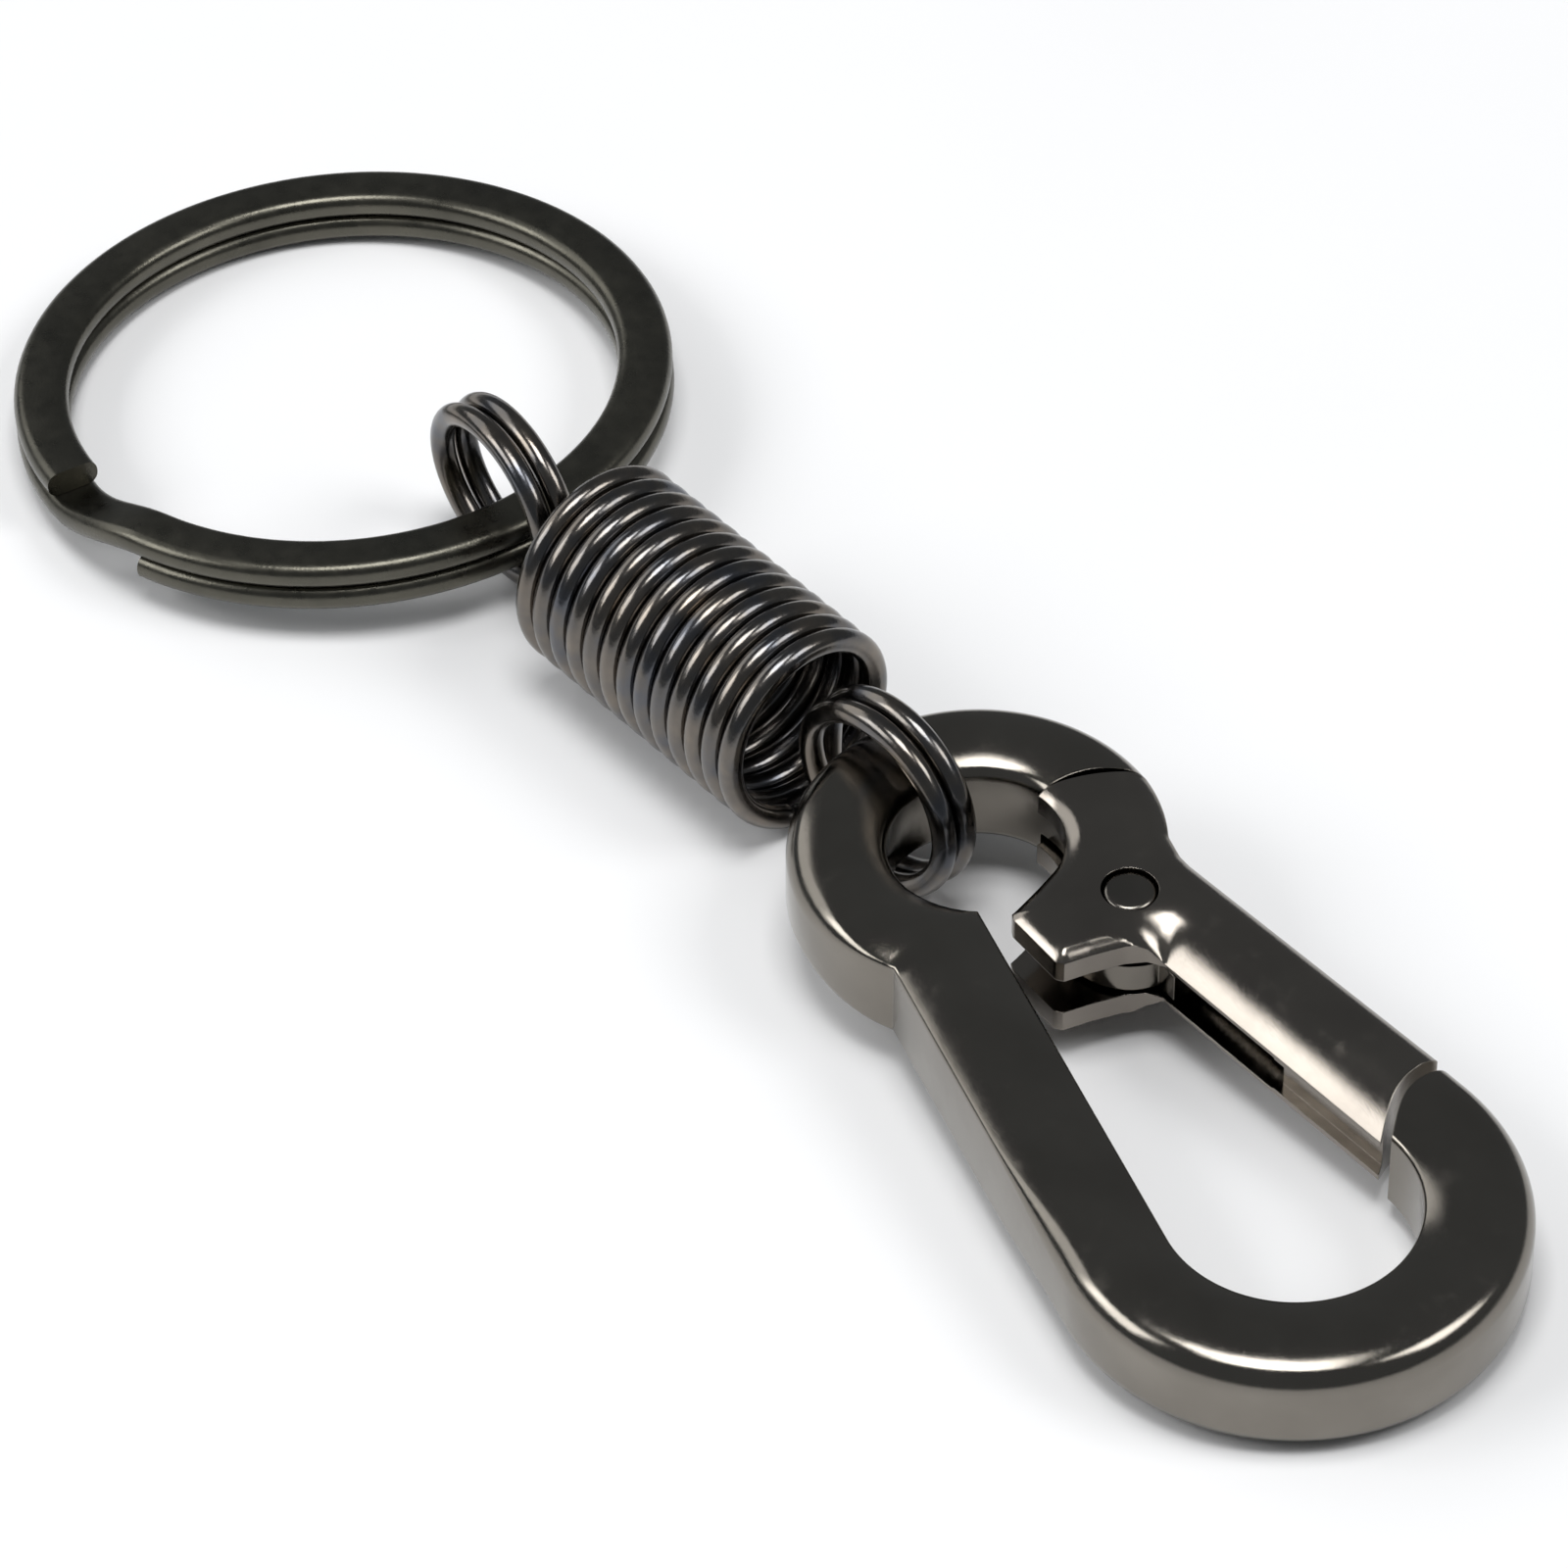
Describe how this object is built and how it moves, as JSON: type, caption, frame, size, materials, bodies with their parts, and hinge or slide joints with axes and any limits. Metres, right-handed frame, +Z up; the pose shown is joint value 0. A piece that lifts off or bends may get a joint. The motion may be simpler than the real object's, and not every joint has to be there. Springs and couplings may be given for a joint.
{
  "type": "carabiner keyring",
  "caption": "Snap hook with an inward-opening gate, joined by a close-wound extension spring to a split ring; lies flat with its length along X.",
  "frame": {"origin": "centre of the bounding box's bottom face, on the surface the keyring lies on", "axes": "+X from the split ring to the hook's bend, +Z up off the surface, the gate on the +Y side of the hook"},
  "size_m": [0.1094, 0.037, 0.0113],
  "materials": {
    "hook_metal": "black nickel plate, glossy",
    "gate_metal": "black nickel plate, glossy",
    "rivet_metal": "black nickel plate, satin",
    "hairpin_metal": "bare spring steel",
    "wire_metal": "black nickel plate on drawn wire",
    "ring_metal": "black nickel plate, satin"
  },
  "bodies": {
    "hook": {"hook_frame": "hook_metal", "rivet": "rivet_metal"},
    "gate": {"gate": "gate_metal", "gate_spring": "hairpin_metal"},
    "spring_front": {"front_loop": "wire_metal", "spring_coil": "wire_metal"},
    "spring_rear": {"rear_loop": "wire_metal"},
    "ring": {"split_ring": "ring_metal"}
  },
  "joints": [
    {"name": "gate_pivot", "type": "hinge", "parent": "hook", "child": "gate", "pos_m": [0.02175, 0.01081, 0.00162], "axis": [0.0541, 0.0005, 0.9985], "range_deg": [-25, 0], "stiffness_Nm_per_rad": 0.06, "springref_deg": 20.05, "deforming": ["gate_spring"]},
    {"name": "hook_swing", "type": "hinge", "parent": "hook", "child": "spring_front", "pos_m": [0.00794, 0.00505, 0.00551], "axis": [-0.2504, 0.9681, 0], "range_deg": [-80, 80]},
    {"name": "spring_stretch", "type": "slide", "parent": "spring_front", "child": "spring_rear", "axis": [-0.989, -0.1478, 0], "range_m": [0, 0.012], "stiffness_N_per_m": 2400, "springref_m": -0.004, "deforming": ["spring_coil"]},
    {"name": "ring_swing", "type": "hinge", "parent": "spring_rear", "child": "ring", "pos_m": [-0.02198, 0.00058, 0.00536], "axis": [-0.0785, 0.9969, 0], "range_deg": [-80, 80]}
  ]
}
